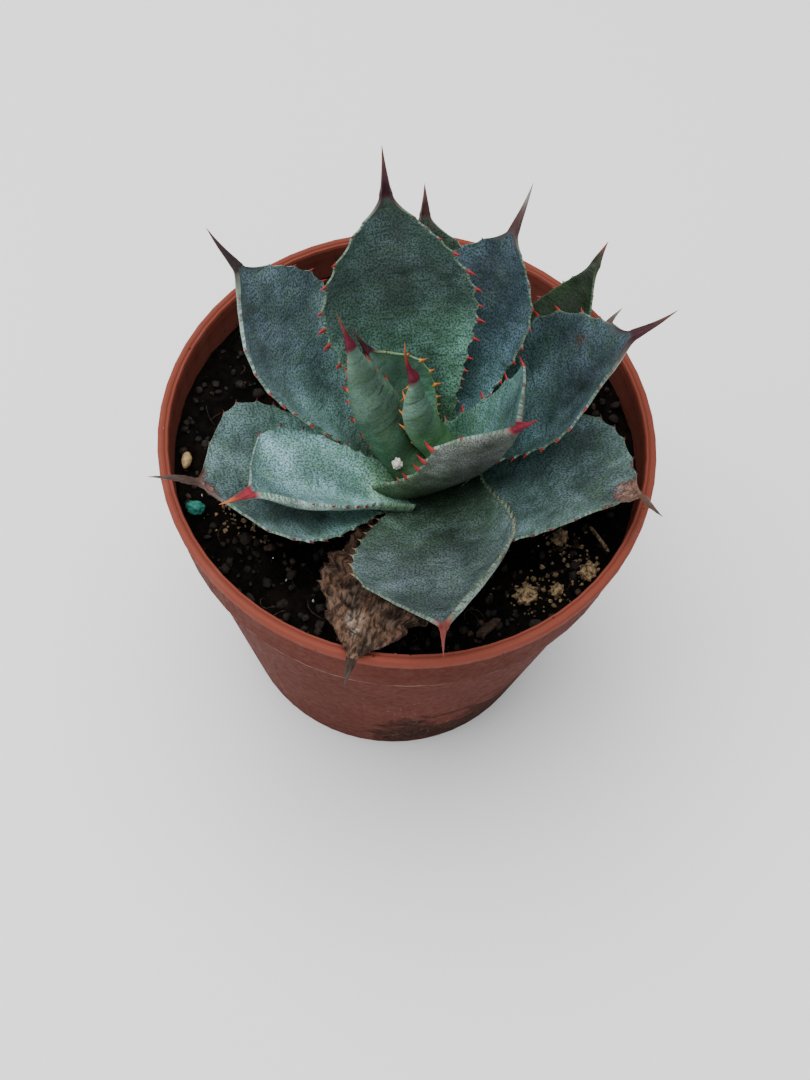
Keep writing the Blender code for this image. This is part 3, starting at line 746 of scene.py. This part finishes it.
def weathered(n, where, z, colour):
    """Dust on the collar, the mineral line at its foot, and faint streaks down the wall."""
    step = COLLAR_FOOT * MM
    collar = n.times(n.ramp(z, step - 0.001, step + 0.001), n.ramp(z, 0.1375, 0.1425, 1.0, 0.0))
    dust = n.times(n.ramp(n.noise(where, 55.0, 6.0, 0.7), 0.4, 0.72), 0.05)
    colour = n.mix(n.times(dust, n.ramp(collar, 0.0, 1.0, 0.45, 1.0)), colour, (0.33, 0.2, 0.16))
    from_line = n.maths("ABSOLUTE", n.maths("SUBTRACT", z, step + 0.0003))
    scum = n.times(n.ramp(from_line, 0.0003, 0.0012, 1.0, 0.0),
                   n.ramp(n.noise(where, 45.0, 5.0, 0.75), 0.42, 0.62))
    colour = n.paint(colour, (0.45, 0.34, 0.29), scum, 0.6)
    streaks = n.noise(n.scaled(where, (60.0, 60.0, 6.0)), 1.0, 4.0, 0.6)
    return n.paint(colour, (0.36, 0.23, 0.19), n.ramp(streaks, 0.55, 0.75), 0.07)


def muddied(n, where, axes, fine, colour):
    """Mud caked low on the front right: the colour with it, and where it lies."""
    x, y, z = axes
    low = n.ramp(z, 0.012, 0.085, 1.0, 0.0)
    side = n.ramp(n.maths("SUBTRACT", n.times(x, 0.9), y), 0.02, 0.09)
    corner = n.times(low, side)
    shape = n.noise(where, 38.0, 7.0, 0.72, 0.6)
    mud = n.ramp(n.maths("ADD", shape, n.times(corner, 0.34)), 0.68, 0.8)
    mud = n.times(mud, n.ramp(corner, 0.08, 0.35))
    caked = n.mix(n.ramp(fine, 0.4, 0.62), (0.012, 0.006, 0.005), (0.05, 0.024, 0.017))
    return n.paint(colour, caked, mud, 0.92), mud


def splashed(n, where, z, above_soil, inside, colour):
    """Dark and pale specks all over, and soil splashed up the inside from the soil's own level."""
    colour = n.paint(colour, (0.03, 0.016, 0.012), n.specks(where, 210.0, 0.07, 0.12, 30.0, 0.5, 0.58), 0.8)
    colour = n.paint(colour, (0.5, 0.42, 0.36), n.specks(where, 330.0, 0.06, 0.1, 22.0, 0.54, 0.6), 0.6)
    near_soil = n.times(n.times(n.ramp(z, 0.1275, 0.134, 1.0, 0.0), above_soil), inside)
    flecks = n.maths("ADD", n.noise(where, 90.0, 6.0, 0.75), n.times(near_soil, 0.1))
    return n.paint(colour, (0.02, 0.013, 0.01), n.times(n.ramp(flecks, 0.6, 0.68), near_soil), 0.8)


def pot_material():
    """Brick-brown moulded plastic: redder clean lip, painted light on the inner wall, dusty collar, mineral
    line, splashes and mud.
    """
    n = Nodes("pot_plastic_worn")
    where = n.place()
    x, y, z = n.split(where)
    fine = n.noise(where, 420.0, 4.0, 0.65)
    outside = n.ramp(n.maths("SQRT", n.maths("ADD", n.times(x, x), n.times(y, y))), 0.0805, 0.0815)
    inside = n.ramp(outside, 0.0, 1.0, 1.0, 0.0)
    above_soil = n.ramp(z, 0.1205, 0.122)
    broad = n.ramp(n.noise(where, 14.0, 4.0, 0.6), 0.35, 0.65)
    colour = n.mix(broad, (0.07, 0.0155, 0.0095), (0.084, 0.019, 0.012))
    lip = n.ramp(z, 0.1405, 0.1425)
    colour = n.mix(lip, colour, (0.18, 0.046, 0.031))
    # painted light: the inside wall above the soil is given a lighter colour than the outside
    inner_wall = n.times(above_soil, inside)
    colour = n.mix(inner_wall, colour, (0.19, 0.055, 0.038))
    colour = weathered(n, where, z, colour)
    colour, mud = muddied(n, where, (x, y, z), fine, colour)
    colour = splashed(n, where, z, above_soil, inside, colour)
    rough = n.ramp(n.maths("ADD", fine, n.times(mud, 0.4)), 0.3, 0.9, 0.55, 0.9)
    scratches = n.noise(n.scaled(where, (400.0, 400.0, 30.0)), 1.0, 3.0, 0.6)
    relief = n.bump(mud, 0.4, 0.0006, n.bump(scratches, 0.08, 0.0002))
    normal = n.bump(n.noise(where, 1500.0, 2.0, 0.5), 0.2, 0.0001, relief)
    return n.finish(colour, rough, normal, Specular_IOR_Level=0.03)


def soil_material():
    """Nearly black damp peat with a few painted glints: pale specks standing for highlights."""
    n = Nodes("potting_soil")
    where = n.place()
    lumps = n.noise(where, 260.0, 6.0, 0.75)
    coarse = n.noise(where, 60.0, 4.0, 0.6)
    colour = n.mix(n.ramp(lumps, 0.38, 0.66), (0.0008, 0.0008, 0.0007), (0.006, 0.0045, 0.0035))
    colour = n.paint(colour, (0.012, 0.008, 0.006), n.ramp(coarse, 0.5, 0.7), 0.5)
    # painted highlights: pale specks as glints on the damp soil
    colour = n.paint(colour, (0.12, 0.085, 0.055), n.specks(where, 520.0, 0.05, 0.09, 120.0, 0.52, 0.6), 0.8)
    normal = n.bump(lumps, 0.9, 0.0016, n.bump(coarse, 0.7, 0.003))
    rough = n.node("ShaderNodeMapRange", 0, None, Value=lumps, From_Min=0.3, From_Max=0.7, To_Min=0.65,
                   To_Max=0.98)
    return n.finish(colour, rough, normal, Specular_IOR_Level=0.05)


def crumb_material(name, dark, light, scale=900.0, rough=(0.7, 0.95), depth=0.0005):
    """A grainy two-tone material for loose pieces."""
    n = Nodes(name)
    where = n.place()
    fine = n.noise(where, scale, 5.0, 0.7)
    wide = n.noise(where, scale / 4.5, 3.0, 0.6)
    colour = n.mix(n.ramp(fine, 0.35, 0.65), dark, light)
    colour = n.mix(n.ramp(wide, 0.5, 0.7, 0.0, 0.6), colour, dark)
    normal = n.bump(fine, 0.8, depth)
    return n.finish(colour, n.ramp(fine, 0.3, 0.7, *rough), normal, Specular_IOR_Level=0.3)


def stem_material():
    n = Nodes("stem_bark_scarred")
    where = n.place()
    rings = n.noise(n.scaled(where, (90.0, 90.0, 500.0)), 1.0, 4.0, 0.6)
    fine = n.noise(where, 700.0, 4.0, 0.7)
    colour = n.mix(n.ramp(rings, 0.4, 0.6), (0.05, 0.035, 0.022), (0.16, 0.12, 0.07))
    rough = n.ramp(fine, 0.3, 0.7, 0.7, 0.95)
    return n.finish(colour, rough, n.bump(rings, 0.6, 0.001), Specular_IOR_Level=0.25)


def floor_material():
    n = Nodes("studio_floor")
    return n.finish((0.92, 0.92, 0.91), 0.9, Specular_IOR_Level=0.2)


# ---------------------------------------------------------------- soil and loose pieces

def soil_level(x, y):
    """The clumpy surface's height: low in the middle, higher by the wall."""
    radius = math.hypot(x, y)
    share = (radius - SOIL_HEART_RADIUS) / (SOIL_SHOULDER_RADIUS - SOIL_HEART_RADIUS)
    level = SOIL_HEART + (SOIL_EDGE - SOIL_HEART) * min(1.0, max(0.0, share)) - 0.5
    level += 1.5 * turbulence(x / 9, y / 9, 3.0, 2)
    level += 0.9 * turbulence(x / 3.1, y / 3.1, 7.0, 3)
    return min(level, SOIL_EDGE + 1.2)


def wall_inside(height):
    """The pot's inside radius at a height, as its own taper has it."""
    if height < COLLAR_FOOT:
        return INSIDE_FOOT_RADIUS + (INSIDE_NECK_RADIUS - INSIDE_FOOT_RADIUS) * height / COLLAR_FOOT
    return INSIDE_COLLAR_RADIUS + COLLAR_FLARE * (height - COLLAR_FOOT) / COLLAR_DROP


def make_soil(material):
    """Clumped surface, closed below by a plug that follows the pot's inside."""
    body = Body()

    def loop(radius, height_at):
        ring = []
        for k in range(SOIL_SECTORS):
            angle = 2 * math.pi * k / SOIL_SECTORS
            x, y = radius * math.cos(angle), radius * math.sin(angle)
            ring.append(body.add((x, y, height_at(x, y)), SOIL_TONE))
        return ring

    reach = wall_inside(SOIL_EDGE) - 0.15
    loops = [loop(reach * (i / SOIL_RINGS) ** 0.85, soil_level) for i in range(1, SOIL_RINGS + 1)]
    for height in SOIL_PLUG_HEIGHTS:
        loops.append(loop(wall_inside(height) - 0.4, lambda x, y, level=height: level))
    for first, second in zip(loops, loops[1:]):
        body.bridge(first, second)
    body.fan(loops[0], body.add((0, 0, soil_level(0, 0)), SOIL_TONE))
    body.faces.append(tuple(loops[-1]))
    return body.make("soil_clumps", material, ("soil",), crease=80)


BALL = {}


def unit_ball(subdivisions):
    """Points and triangles of a unit ball, made once for each fineness."""
    if subdivisions not in BALL:
        bm = bmesh.new()
        bmesh.ops.create_icosphere(bm, subdivisions=subdivisions, radius=1.0)
        bm.verts.index_update()
        BALL[subdivisions] = ([v.co.copy() for v in bm.verts],
                              [tuple(v.index for v in f.verts) for f in bm.faces])
        bm.free()
    return BALL[subdivisions]


def add_lump(body, centre, sizes, turn, seed, subdivisions, roughness, frequency=1.4):
    """A rough ball squeezed to the given sizes."""
    points, faces = unit_ball(subdivisions)
    start = len(body.points)
    for p in points:
        swell = 1 + roughness * turbulence(p.x * frequency + seed, p.y * frequency, p.z * frequency, 4)
        offset = turn @ Vector(c * size / 2 * swell for c, size in zip(p, sizes))
        body.add(Vector(centre) + offset, LUMP_TONE)
    body.faces += [tuple(start + i for i in face) for face in faces]


def random_turn(rng):
    angle = rng.uniform(0, 6.28)
    axis = Vector((rng.uniform(-1, 1), rng.uniform(-1, 1), rng.uniform(-1, 1.1)))
    return Matrix.Rotation(angle, 3, axis)


def on_soil(rng, low=18.0, high=SOIL_REACH):
    """A spot anywhere on the soil between two radii."""
    radius = math.sqrt(rng.uniform(low * low, high * high))
    angle = rng.uniform(0, 2 * math.pi)
    return radius * math.cos(angle), radius * math.sin(angle)


def near(rng, x, y, spread):
    """A spot close to a place, kept off the pot's wall."""
    while True:
        a, b = rng.gauss(x, spread), rng.gauss(y, spread)
        if math.hypot(a, b) < SOIL_REACH:
            return a, b


def make_crumbs(name, count, sizes, material, seed, spots=(), spread=0.0):
    """Loose grains in one piece: all over the soil, or gathered round the given spots."""
    rng = random.Random(seed)
    body = Body()
    for i in range(count):
        x, y = near(rng, *spots[i % len(spots)], spread) if spots else on_soil(rng)
        size = rng.uniform(*sizes) * rng.uniform(0.6, 1.0)
        shape = (size * rng.uniform(0.8, 1.3), size * rng.uniform(0.7, 1.2), size * rng.uniform(0.6, 1.0))
        centre = (x, y, soil_level(x, y) + 0.3 * size)
        fineness = 2 if size > 1.6 else 1
        add_lump(body, centre, shape, random_turn(rng), rng.uniform(0, 90), fineness, 0.4)
    return body.make(name, material, crease=50)


def add_strand(body, path, radius, sides=6):
    """A thin closed tube along a path, narrower at its ends."""
    rings = []
    for i, point in enumerate(path):
        ahead = (path[min(i + 1, len(path) - 1)] - path[max(i - 1, 0)]).normalized()
        across = ahead.cross(Vector((0, 0, 1)))
        across = across.normalized() if across.length > 0.01 else Vector((1, 0, 0))
        over = across.cross(ahead)
        size = radius * (0.45 if i in (0, len(path) - 1) else 1.0)
        turns = [2 * math.pi * k / sides for k in range(sides)]
        rings.append([body.add(point + across * (size * math.cos(turn)) + over * (size * math.sin(turn)),
                               STRAND_TONE) for turn in turns])
    for first, second in zip(rings, rings[1:]):
        body.bridge(first, second)
    body.faces.append(tuple(reversed(rings[0])))
    body.faces.append(tuple(rings[-1]))


def make_fibres(name, count, lengths, radii, material, seed, wander=0.5):
    """Bent fibres that lie on the soil, arched a little off it."""
    rng = random.Random(seed)
    body = Body()
    for _ in range(count):
        x, y = on_soil(rng, 22.0, SOIL_REACH - 2)
        heading, length, turn = rng.uniform(0, 6.28), rng.uniform(*lengths), rng.uniform(-wander, wander)
        radius, path, step = rng.uniform(*radii), [], length / FIBRE_STEPS
        for i in range(FIBRE_STEPS):
            if math.hypot(x, y) > SOIL_REACH:
                break
            arch = 0.9 * math.sin(math.pi * i / (FIBRE_STEPS - 1)) * rng.uniform(0.4, 1.0)
            path.append(Vector((x, y, soil_level(x, y) + radius * 0.4 + arch)))
            heading += turn + rng.uniform(-0.15, 0.15)
            x, y = x + math.cos(heading) * step, y + math.sin(heading) * step
        if len(path) > 3:
            add_strand(body, path, radius)
    return body.make(name, material, crease=80)


def make_scrap(node, material, roughness=0.3, frequency=1.4, sizes=None, turn=0.0):
    """A finer shape for one loose piece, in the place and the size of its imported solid."""
    low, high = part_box(node)
    centre, extent = (low + high) / 2 / MM, (high - low) / MM
    body = Body()
    add_lump(body, centre, sizes or extent, Matrix.Rotation(math.radians(turn), 3, "Z"), len(node), 4,
             roughness, frequency)
    return body.make(node + "_fine", material, (node,), crease=70)


def make_straw(material):
    """The dry stalk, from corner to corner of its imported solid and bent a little."""
    low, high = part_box("straw")
    start, end = Vector((low.x, high.y, high.z)) / MM, Vector((high.x, low.y, high.z)) / MM
    path = []
    for i in range(STRAW_STEPS):
        t = i / (STRAW_STEPS - 1)
        path.append(start.lerp(end, t) + Vector((0.15 * math.sin(t * 4), 0, 0.7 * t - 0.4)))
    body = Body()
    add_strand(body, path, STRAW_RADIUS, sides=10)
    return body.make("straw_stalk", material, ("straw",), crease=80)


# ---------------------------------------------------------------- stage

def make_camera():
    pitch, roll = math.radians(CAMERA_PITCH), math.radians(CAMERA_ROLL)
    ahead = Vector((0, math.cos(pitch), -math.sin(pitch)))
    right, up = Vector((1, 0, 0)), Vector((0, math.sin(pitch), math.cos(pitch)))
    turned_right = right * math.cos(roll) + up * math.sin(roll)
    turned_up = up * math.cos(roll) - right * math.sin(roll)
    turn = Matrix((turned_right, turned_up, -ahead)).transposed().to_4x4()
    data = bpy.data.cameras.new("camera")
    data.lens = CAMERA_LENS
    data.sensor_width = SENSOR_WIDTH
    data.sensor_fit = "AUTO"
    data.clip_start = 0.01
    data.clip_end = 20.0
    camera = bpy.data.objects.new("camera", data)
    camera.matrix_world = Matrix.Translation(CAMERA_PLACE) @ turn
    bpy.context.scene.collection.objects.link(camera)
    bpy.context.scene.camera = camera


def add_light(name, place_at, aim, size, energy, colour=(1, 1, 1)):
    data = bpy.data.lights.new(name, "AREA")
    data.shape = "RECTANGLE"
    data.size, data.size_y = size
    data.energy = energy
    data.color = colour
    light = bpy.data.objects.new(name, data)
    light.location = place_at
    light.rotation_euler = (Vector(aim) - Vector(place_at)).to_track_quat("-Z", "Y").to_euler()
    bpy.context.scene.collection.objects.link(light)


def make_stage():
    """Pale floor, one large soft light above, two weak fills and a pale surround."""
    mesh = bpy.data.meshes.new("floor")
    bm = bmesh.new()
    bmesh.ops.create_grid(bm, x_segments=1, y_segments=1, size=4.0)
    bm.to_mesh(mesh)
    bm.free()
    floor = bpy.data.objects.new("floor", mesh)
    mesh.materials.append(floor_material())
    bpy.context.scene.collection.objects.link(floor)
    add_light("softbox_above", (-0.25, 0.15, 1.5), (0, 0, 0.15), (1.3, 1.3), 32.0, (1.0, 0.985, 0.96))
    add_light("fill_left", (-1.5, -0.5, 0.7), (0, 0, 0.15), (1.0, 1.0), 11.0, (0.93, 0.97, 1.0))
    add_light("fill_front", (0.5, -1.6, 0.6), (0, 0, 0.1), (1.2, 0.8), 6.0)
    world = bpy.data.worlds.new("studio")
    world.use_nodes = True
    sky = world.node_tree.nodes["Background"]
    sky.inputs["Color"].default_value = (0.92, 0.95, 1.0, 1.0)
    sky.inputs["Strength"].default_value = 0.72
    bpy.context.scene.world = world


# ---------------------------------------------------------------- the plant

def dress(node, material):
    """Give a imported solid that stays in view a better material."""
    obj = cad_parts[node]
    obj.data.materials.clear()
    obj.data.materials.append(material)


def make_loose_pieces():
    """Everything that lies on the soil: grains and fibres by the hundred, then the named pieces."""
    earth = crumb_material("dark_earth", (0.0025, 0.002, 0.0016), (0.024, 0.016, 0.011))
    tan = crumb_material("tan_earth", (0.03, 0.017, 0.009), (0.36, 0.25, 0.13), 620.0, depth=0.001)
    fibre = crumb_material("brown_fibre", (0.012, 0.006, 0.004), (0.06, 0.032, 0.02))
    pale = crumb_material("pale_grain", (0.3, 0.28, 0.24), (0.62, 0.6, 0.55))
    stone = crumb_material("tan_stone", (0.26, 0.17, 0.075), (0.46, 0.32, 0.16), 500.0, (0.4, 0.6), 0.0002)
    feed = crumb_material("green_granule", (0.01, 0.11, 0.085), (0.03, 0.26, 0.2))
    tan_spots = ((45, -50), (55, -47), (65, -39), (55, -27), (60, -33), (48, -44), (-46, -36), (-56, -33))

    make_crumbs("soil_crumbs", 900, (0.9, 4.2), earth, 11)
    make_crumbs("bark_crumbs", 130, (1.2, 3.4), fibre, 12)
    make_crumbs("tan_crumbs", 230, (0.6, 2.0), tan, 13, tan_spots, 3.6)
    make_crumbs("pale_grains", 34, (0.7, 1.7), pale, 14)
    make_fibres("soil_fibres", 70, (5, 14), (0.08, 0.2), fibre, 15)
    make_fibres("pale_fibres", 9, (7, 14), (0.09, 0.14), fibre, 16, wander=0.3)

    make_scrap("pebble", stone, roughness=0.1)
    make_scrap("feed_granule", feed, roughness=0.25)
    make_scrap("bark_chip", fibre, sizes=(10, 3.4, 1.8), turn=46)
    for i in range(1, 5):
        make_scrap("soil_clod_%d" % i, tan, roughness=0.55, frequency=2.4)
    make_scrap("perlite_grain", pale, roughness=0.35, frequency=1.8)
    make_straw(tan)


def main():
    make_camera()
    make_stage()
    dress("pot", pot_material())
    dress("stem", stem_material())

    skin = leaf_material("leaf_skin_waxy")
    heart = leaf_material("heart_leaf_skin_waxy", speck=0.3)
    for seed, leaf in enumerate(LEAVES, start=1):
        make_leaf(leaf, seed, heart if leaf.slot == "heart_leaf_skin" else skin)
    make_dead_leaf(DEAD_LEAF, 31, dead_leaf_material())

    make_soil(soil_material())
    make_loose_pieces()


main()
